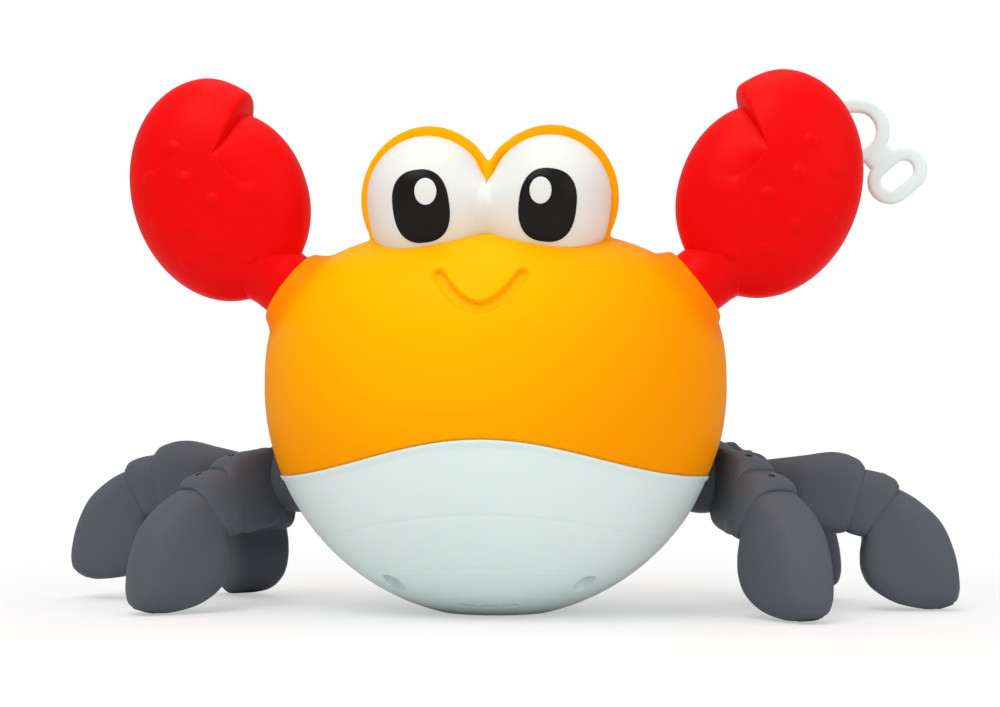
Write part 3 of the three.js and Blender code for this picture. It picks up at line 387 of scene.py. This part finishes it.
def eye_front(x, z):
    """Reach of the eyes in front of the hood: the rounded larger of two lobes, each 24 (1 - e)^0.5 for its
    egg share e. The eggs are wider towards the middle and taller below."""
    inside_width = eye_half_width + inner_extra * smooth_step((inner_from - z) / eye_change)
    tall = eye_above + (eye_below - eye_above) * smooth_step((below_from - z) / eye_change)

    def lobe(c):
        across = np.where((x - c) * c > 0, eye_half_width, inside_width)
        e = ((x - c) / across) ** 2 + ((z - eye_level) / tall) ** 2
        return np.where(e < 1, eye_proud * np.sqrt(np.clip(1 - e, 0, 1)), -12 * (e - 1))

    return -soft_min(-lobe(-eye_out), -lobe(eye_out), crease_round)


def eye_half(side):
    """One lobe as rings about its middle, out to its egg outline or to the middle plane, with a wall
    behind."""
    angle = full_turn(240)
    reach = 1 - (1 - np.linspace(0.004, 1, 90)[:, None]) ** 1.8
    inward = -np.cos(angle) * side
    below = np.sin(angle) < 0
    plane = eye_out / eye_half_width / np.maximum(inward, 1e-6)
    outline = np.where(below, 1 + 0.8 * np.clip((inward - 0.1) / 0.5, 0, 1), 1.0)
    stop = np.where(inward > 0, np.minimum(plane, outline), 1.0)
    x = side * eye_out + eye_half_width * stop * reach * np.cos(angle)
    z = eye_level + np.where(below, eye_below, eye_above) * stop * reach * np.sin(angle)
    rows = np.stack([x, hood_front - np.maximum(eye_front(x, z), 0), z], -1)
    back = rows[-1] * np.array([1, 0, 1]) + np.array([0, eye_back, 0])
    return np.concatenate([rows, back[None]])


def pupil_rows(x, z, wide, tall, proud, lean, power):
    """A proud patch on the eye: an oblong in the front view, where the powers of its two shares add to 1,
    leaning by some degrees and lifted a little, with a rolled edge."""
    angle = full_turn(160)
    grow = np.append(np.linspace(0.0005, 0.94, 40), [0.97, 0.99, 1.0, 1.0])[:, None]
    lift = np.append(np.full(40, 1.0), [0.95, 0.75, 0.4, -1.2])[:, None]
    c, s = np.cos(angle), np.sin(angle)
    fit = (np.abs(c) ** power + np.abs(s) ** power) ** (-1 / power)
    a, b = grow * fit * c * wide / 2, grow * fit * s * tall / 2
    w = np.radians(lean)
    x, z = x + a * np.cos(w) + b * np.sin(w), z - a * np.sin(w) + b * np.cos(w)
    return np.stack([x, hood_front - eye_front(x, z) - proud * lift, z], -1)


eye_white = moulded("eye_white", light=(0.79, 0.795, 0.755), dark=(0.77, 0.775, 0.735), rough=0.3, soft=0.1)
for side, name in sides:
    stands = ["eye_insert"] if name == "left" else []
    skin(name + "_eye", eye_half(side), "both", eye_white, "body", "eye_white", *stands)

pupil_black = moulded("pupil_black", light=(0.013, 0.012, 0.011), dark=(0.010, 0.009, 0.009), rough=0.25,
                      soft=0.0)
for (side, name), glint_x in zip(sides, (-16.85, 16.9)):
    rows = pupil_rows(side * eye_out + 0.2, 123.4, wide=16.9, tall=21.2, proud=0.35, lean=7 * side, power=2.5)
    skin(name + "_pupil_skin", rows, "both", pupil_black, "body", "pupil_black", name + "_pupil")
    rows = pupil_rows(glint_x, 127.4, wide=6.5, tall=7.9, proud=0.5, lean=0, power=2.0)
    skin(name + "_glint", rows, "both", eye_white, "body", "eye_white")


# Claws: a red plastic pillow with a pincer tip over a smaller thumb, moulded as a front and a back half, on
# a round neck that turns in the shoulder. Heights over the claw's plane, in rings about a point on the
# crease between finger and thumb. They ride on the claws and stand for their halves.

claw_middle = np.array([85.2, -15, 133.37])
claw_half_width, claw_half_height, claw_thickness = 28.5, 35.5, 17
claw_lean_cos, claw_lean_sin = 0.9677, 0.2521
crease_x, crease_z = -0.8, 8
thumb_x, thumb_z, thumb_size = 4, 11.6, 0.8
thumb_thickness, thumb_swell, swell_radius = 15.1, 2.81, 5
pillow_power = 2.5
pincer_degrees, crease_degrees = 104, 225
half_gap = 0.1
bump_height, bump_radius = 0.7, math.sqrt(6.5)
claw_bumps = [[12, 10.7], [19.3, 1.8], [8, 0.8], [-1, -5.8], [17.5, -11.5], [6.8, -14.8], [-1.8, -21.8],
              [8.2, -24.2], [-11.8, -23]]
neck_profile = [[-2.4, 10.5], [6, 10.5], [8, 10.8], [10, 11.3], [13, 12.3], [16, 13.5], [20, 14], [24, 13.5]]


def claw_rows(side, face):
    """Rays out to the finger's egg outline, or over a sector to the thumb's smaller one, raised by each
    egg's half thickness times (1 - share^2.5)^0.5. Over the crease the one changes into the other by a
    smooth step."""
    turn = full_turn(480)
    angle = np.radians(115) + turn - 0.65 * np.sin(turn)
    t = 1 - (1 - np.linspace(0.0002, 1, 110)[:, None]) ** 2

    def egg(a, b, size):
        """The leaning egg's own coordinates, in which its outline is the unit circle."""
        across = (a * claw_lean_cos - b * claw_lean_sin) / claw_half_width
        upright = (a * claw_lean_sin + b * claw_lean_cos) / claw_half_height
        return np.array([across, upright]) / size

    def ray(a, b, size):
        """Reach of the egg outline from a point in it, and the share of the outline along each ray."""
        way, start = egg(np.cos(angle), np.sin(angle), size), egg(a, b, size)[:, None]
        dot, square = np.sum(way * start, axis=0), np.sum(way ** 2, axis=0)
        reach = (np.sqrt(dot ** 2 - square * (np.sum(start ** 2) - 1)) - dot) / square
        return reach, np.hypot(*(start[:, None] + t * reach * way[:, None]))

    def pillow(egg_share):
        return np.sqrt(np.clip(1 - egg_share ** pillow_power, 0, 1))

    finger, finger_share = ray(crease_x, crease_z, 1)
    thumb, thumb_share = ray(thumb_x, thumb_z, thumb_size)
    degrees = (np.degrees(angle) + 65) % 360 - 65
    over = np.clip((degrees - pincer_degrees) / 12.8, 0, 1) ** 5
    reach = finger - 1.6 * smooth_step((degrees - 75) / 38) * (degrees < 180)
    reach = reach + (thumb - reach) * over * smooth_step((250 - degrees) / 65)
    crease_width = 9 + 65 * smooth_step((t * reach - 10.5) / 10)
    mix = over * smooth_step((crease_degrees + crease_width / 2 - degrees) / crease_width)
    out, rise = crease_x + t * reach * np.cos(angle), crease_z + t * reach * np.sin(angle)
    high = claw_thickness * pillow(finger_share)
    low = (thumb_thickness + thumb_swell * np.exp(-(t * thumb / swell_radius) ** 2)) * pillow(thumb_share)
    high = high + (low - high) * mix
    for a, b in claw_bumps:
        high = high + bump_height * np.clip(1 - (np.hypot(out - a, rise - b) / bump_radius) ** 2, 0, 1)
    high[-1] = 0
    rows = np.stack([side * (claw_middle[0] + out), face * (high + half_gap), claw_middle[2] + rise], -1)
    inner = np.stack([side * (claw_middle[0] + 0.985 * out[-1]), 0.2 * rows[-1, :, 1],
                      claw_middle[2] + 0.985 * rise[-1]], -1)
    return np.concatenate([rows, inner[None]]) + np.array([0, claw_middle[1], 0])


def neck_rows(side):
    """A round form about the arm's axis: radius by distance along the arm from the shoulder."""
    angle = full_turn(96)[:, None]
    stations, radii = np.array(neck_profile).T
    along = np.linspace(stations[0], stations[-1], 60)[:, None, None]
    across = np.array([-arm_axis[2] * side, 0, arm_axis[0]])
    spokes = np.cos(angle) * across + np.sin(angle) * np.array([0, 1, 0])
    middle = (shoulder + along * arm_axis) * (side, 1, 1)
    return middle + np.interp(along, stations, radii) * spokes


red = moulded("red_plastic", light=(0.84, 0.003, 0.003), dark=(0.80, 0.002, 0.002), rough=0.4, soft=0.03,
              gloss=0.045)
for side, name in sides:
    for face, half in ((-1, "front"), (1, "back")):
        node = f"{name}_claw_{half}"
        skin(node + "_skin", claw_rows(side, face), "both", red, name + "_claw", "red_plastic", node)
    skin(name + "_neck", neck_rows(side), "both", red, name + "_claw", "red_plastic")


# Pull ring: a round finger loop and a slanted slot in one flat moulded white link, on a peg behind the right
# claw. Two rounded bands swept round oblong paths, and a web between them. They ride on the ring and stand
# for pull_ring.

ring_y = 0.67
loop_middle, slot_middle = np.array([113.5, ring_y, 152.0]), np.array([126.9, ring_y, 137.8])
band_width, band_thickness = 4.2, 3
web_start, web_stop = 7.0, 15.2
web_half_width, web_half_thickness = 4.6, 1.48


def band(middle, radius, half_straight, lean):
    """A rounded bar swept round an oblong path in the front view: two half circles joined by straights."""
    t, a = full_turn(160), full_turn(40)[:, None]
    fit = (np.abs(np.cos(a)) ** 3.5 + np.abs(np.sin(a)) ** 3.5) ** (-1 / 3.5)
    u, y = fit * np.cos(a) * band_width / 2, fit * np.sin(a) * band_thickness / 2
    x, z = (radius + u) * np.cos(t) + half_straight * np.sign(np.cos(t)), (radius + u) * np.sin(t)
    w = np.radians(lean)
    return middle + np.stack([x * np.cos(w) - z * np.sin(w), y + 0 * x, x * np.sin(w) + z * np.cos(w)], -1)


def web():
    """A short flat bar from the loop's rim to the slot's rim."""
    a = full_turn(60)[:, None]
    fit = (np.abs(np.cos(a)) ** 4 + np.abs(np.sin(a)) ** 4) ** (-1 / 4)
    way = slot_middle - loop_middle
    along = way / np.linalg.norm(way)
    across = np.array([-along[2], 0, along[0]])
    wide, thick = fit * np.cos(a) * web_half_width, fit * np.sin(a) * web_half_thickness
    section = wide * across + thick * np.array([0, 1, 0])
    return loop_middle + np.linspace(web_start, web_stop, 12)[:, None, None] * along + section


skin("pull_ring_loop", band(loop_middle, 7.9, 1.0, 0), "loop", white, "ring", "white_plastic", "pull_ring")
skin("pull_ring_slot", band(slot_middle, 5.1, 2.7, 40), "loop", white, "ring", "white_plastic")
skin("pull_ring_web", web(), "both", white, "ring", "white_plastic")


# Legs: dark grey plastic, each a thigh, a shin and a leaf-shaped foot moulded as overlapping beads, with
# three legs on each rocking hub. Sections swept along each bead. They ride on the leg sets and stand for the
# legs and hubs.

hip = np.array([66.524, 18, opening_z])
hub_swing = 8
hub_radius, hub_half_height = 14, 12.5
leg_half_thickness = 9.6


def through(stations, count):
    """Smooth values through given stations, by cubic pieces with matched slopes."""
    p = np.concatenate([2 * stations[:1] - stations[1:2], stations, 2 * stations[-1:] - stations[-2:-1]])
    t = np.linspace(0, len(p) - 3 - 1e-9, count)
    i = t.astype(int)
    f = (t - i)[:, None]
    a, b, c, d = p[i], p[i + 1], p[i + 2], p[i + 3]
    return b + 0.5 * f * (c - a + f * (2 * a - 5 * b + 4 * c - d + f * (3 * (b - c) + d - a)))


def bead(stations, shorter, lip):
    """Full oval sections between an under edge and a top edge in the leg's plane, closed with a rolled
    lip."""
    s = through(np.array(stations, float) - np.array([shorter, 0, shorter, 0, 0]), 80)
    under, top, thick = s[-1, :2], s[-1, 2:4], s[-1, 4]
    middle = (under + top) / 2
    way = middle - (s[-8, :2] + s[-8, 2:4]) / 2
    way /= np.hypot(*way)
    grow = np.array([0.985, 0.95, 0.88, 0.02])[:, None]
    centre = middle + np.array([0.5, 0.9, 1.1, 1.1])[:, None] * lip * way
    end = np.concatenate([centre + grow * (under - middle), centre + grow * (top - middle), grow * thick], 1)
    first = (s[:1, :2] + s[:1, 2:4]) / 2
    start = np.concatenate([first - 0.01, first + 0.01, s[:1, 4:] * 0.01], 1)
    s = np.concatenate([start, s, end])
    half = np.minimum(s[:, 4], 0.3 * (s[:, 0] + s[:, 2]) / 2)[:, None]
    a = full_turn(120)
    c, n = np.cos(a), np.sin(a)
    power = np.where(c > 0, 3.2, 6.0)
    fit = (np.abs(c) ** power + np.abs(n) ** power) ** (-1 / power)
    rise = (1 + fit * c) / 2
    reach = s[:, 0:1] + rise * (s[:, 2:3] - s[:, 0:1])
    height = s[:, 1:2] + rise * (s[:, 3:4] - s[:, 1:2])
    return np.stack([reach, half * (fit * n), height], -1)


def hole(reach, height, slope):
    """A small round disc, a little proud, on a bead's top, to be coloured black as painted shade for the
    inside of a
    hole: rings about a point of the top edge, tipped to its slope."""
    a, w = full_turn(40), math.radians(slope)
    ring = np.array([0.01, 0.5, 0.9, 1.15])[:, None]
    proud = np.array([0.12, 0.12, 0.1, 0.0])[:, None]
    along = ring * np.cos(a)
    return np.stack([reach + along * math.cos(w), ring * np.sin(a), height + along * math.sin(w) + proud], -1)


def leg_beads(shorter):
    """The beads of a leg and two small discs that stand as painted shade for its holes. A station is [under
    reach, under height, top reach, top height, half thickness], and a shorter leg has a deeper root."""
    s, deeper, thick = shorter, shorter / 26, leg_half_thickness
    under, top = -11.5 - 6.5 * deeper, 4 + 6 * deeper
    root = np.array([13 + s, under, 13 + s, top, thick])
    knee = np.array([42.5, -18.5, 43.5, 7.6, thick])
    thigh = [[6 + s, under + 7, 6 + s, top - 2.5, thick], [8.5 + s, under + 2, 8.5 + s, top - 0.6, thick]]
    thigh += (root + np.linspace(0, 1, 4)[:, None] * (knee - root)).tolist()
    thigh += [[45.6, -18.4, 50.4, 5.6, thick], [46.8, -17.9, 52.8, 3.2, 9]]
    shin = [[45, -16.5, 49, 2, 8], [47.4, -18.4, 53, 2, 8.7], [50.5, -19.4, 58.5, 0.8, 9.2],
            [52.2, -19.6, 62.4, -1, 9.2], [53, -19, 63.8, -3, 8.6]]
    foot = [[51, -18, 59.5, -3.4, 7.8], [52.6, -20.5, 64.4, -4.6, 8.6], [52.1, -26, 70.8, -8.6, 9.5],
            [52.6, -31.5, 77.4, -15.3, 9.8], [55.5, -36.6, 81.5, -24.9, 9.4], [62.5, -40.8, 83, -34, 8.2],
            [71, -42.7, 82.6, -39, 6], [76, -42.8, 81.2, -41, 3.6]]
    return (("thigh", bead(thigh, s, 0.5)), ("shin", bead(shin, s, 0.5)), ("foot", bead(foot, s, 0.3)),
            ("thigh_hole", hole(47.6 - s, 6.75, -16)), ("shin_hole", hole(59.4 - s, 0.55, -22)))


def leg_place(rows, side, forward, lift):
    """Puts a leg in its place on its hub: tips it up, turns it forward and moves it to the hip."""
    w = math.radians(lift)
    r, y, z = rows[..., 0], rows[..., 1], rows[..., 2]
    r, z = r * math.cos(w) - z * math.sin(w), r * math.sin(w) + z * math.cos(w)
    turn = (math.pi if side < 0 else 0) - side * math.radians(side * hub_swing + forward)
    x, y = r * math.cos(turn) - y * math.sin(turn), r * math.sin(turn) + y * math.cos(turn)
    return hip * (side, 1, 1) + np.stack([x, y, z], -1)


def hub_rows(side):
    """A flattened ball about the hip."""
    a, b = full_turn(96), np.linspace(-1.57, 1.57, 48)[:, None]
    flat, z = hub_radius * np.cos(b), hub_half_height * np.sin(b) + 0 * a
    return hip * (side, 1, 1) + np.stack([flat * np.cos(a), flat * np.sin(a), z], -1)


grey = moulded("grey_plastic", light=(0.100, 0.110, 0.128), dark=(0.090, 0.099, 0.116), rough=0.46, soft=0.0)
leg_sizes = (("front", 50, 21.6), ("middle", -6, 0.8), ("rear", -45, 26.8))
lifted = {("left", "middle"): 5, ("right", "rear"): 3}
for side, name in sides:
    for leg, forward, shorter in leg_sizes:
        for part, rows in leg_beads(shorter):
            placed = leg_place(rows, side, forward, lifted.get((name, leg), 0))
            # The holes are shown as black discs: painted shade for their insides.
            tone, slot = (pupil_black, "pupil_black") if "hole" in part else (grey, "grey_plastic")
            stands = [f"{name}_{leg}_leg"] if part == "thigh" else []
            skin(f"{name}_{leg}_{part}", placed, "both", tone, name + "_legs", slot, *stands)
    skin(name + "_hub_skin", hub_rows(side), "both", grey, name + "_legs", "grey_plastic", name + "_leg_hub")


# Carried-over pieces: hip cups, screws, peg, shafts and the clockwork keep their solids and get plain
# finishes. The cups are the same dark grey as the legs, the screws and motor are steel, and the gears are
# pale acetal.

steel, shader, place = new_material("steel")
brush = place.node("ShaderNodeTexNoise", {"Vector": place, "Scale": 300.0, "Detail": 2.0})
(0.2 * brush + 0.25).to(shader.inputs["Roughness"])
shader.inputs["Base Color"].default_value = (0.5, 0.51, 0.53, 1)
shader.inputs["Metallic"].default_value = 1.0
acetal = moulded("gear_plastic", light=(0.70, 0.68, 0.61), dark=(0.66, 0.64, 0.57), rough=0.45, soft=0.1)
finish = {"grey_plastic": grey, "steel": steel, "gear_plastic": acetal, "red_plastic": red}
shown = {entry["node"]: entry["material_slot"] for entry in frame["record"]["subparts"]}
for node, made in frame["nodes"].items():
    if shown[node] in finish:
        made.data.materials.clear()
        made.data.materials.append(finish[shown[node]])


# Stage: a white floor and backdrop, one broad light above the front, softer ones at the side and on top, and
# the camera. It stands almost level in front, a few degrees to the right, with the lens raised as in the
# photo.

floor_half, floor_level = 3, -0.0002
camera_away, camera_height, camera_turn = 0.55, 0.054, math.radians(4.3)
lamps = (("key", (-0.3, -0.75, 1.1), 0.8, 8.6), ("fill", (0.9, -0.6, 0.5), 0.9, 2.6),
         ("top", (0.0, 0.1, 1.2), 0.8, 3.4))
lamp_aim = np.array([0, 0, 0.08])

paper, shader, place = new_material("paper")
shader.inputs["Base Color"].default_value = (0.9, 0.9, 0.9, 1)
shader.inputs["Roughness"].default_value = 0.9
away = place.node("ShaderNodeVectorMath", {0: place}, 1, operation="LENGTH")
ends = {"From Min": 0.12, "From Max": 0.4, "To Min": 0.45, "To Max": 1.0}
away = away.node("ShaderNodeMapRange", {"Value": away, **ends})
seen = away.node("ShaderNodeLightPath", {}, "Is Camera Ray")
glow = away.node("ShaderNodeEmission", {"Color": (1, 1, 1, 1), "Strength": 1.02})
sheet = away.node("ShaderNodeMixShader", {0: away * seen, 1: Wire(shader.outputs[0]), 2: glow})
sheet.to(paper.node_tree.nodes["Material Output"].inputs["Surface"])
mesh = bpy.data.meshes.new("floor")
corners = [(x * floor_half, y * floor_half, floor_level) for x, y in ((-1, -1), (1, -1), (1, 1), (-1, 1))]
mesh.from_pydata(corners, [], [(0, 1, 2, 3)])
mesh.materials.append(paper)
floor = bpy.data.objects.new("floor", mesh)
bpy.context.scene.collection.objects.link(floor)

world = bpy.data.worlds.new("white")
world.use_nodes = True
sky = world.node_tree.nodes["Background"]
seen = Wire(world.node_tree.nodes.new("ShaderNodeLightPath").outputs["Is Camera Ray"])
(0.55 * seen + 0.5).to(sky.inputs["Strength"])
sky.inputs["Color"].default_value = (1, 1, 1, 1)
bpy.context.scene.world = world

for name, place, size, power in lamps:
    lamp = bpy.data.lights.new(name, "AREA")
    lamp.size = size
    lamp.energy = power
    made = bpy.data.objects.new(name, lamp)
    bpy.context.scene.collection.objects.link(made)
    made.location = place
    way = np.array(place) - lamp_aim
    made.rotation_euler = (math.atan2(math.hypot(way[0], way[1]), way[2]), 0, math.atan2(way[0], -way[1]))

bpy.context.scene.view_settings.view_transform = "Standard"
lens = bpy.data.cameras.new("camera")
lens.lens = 61.9
lens.sensor_width = 36
lens.shift_x = 0.005
lens.shift_y = 0.0885
camera = bpy.data.objects.new("camera", lens)
bpy.context.scene.collection.objects.link(camera)
camera.location = (camera_away * math.sin(camera_turn), -camera_away * math.cos(camera_turn), camera_height)
camera.rotation_euler = (math.pi / 2, 0, camera_turn)
bpy.context.scene.camera = camera
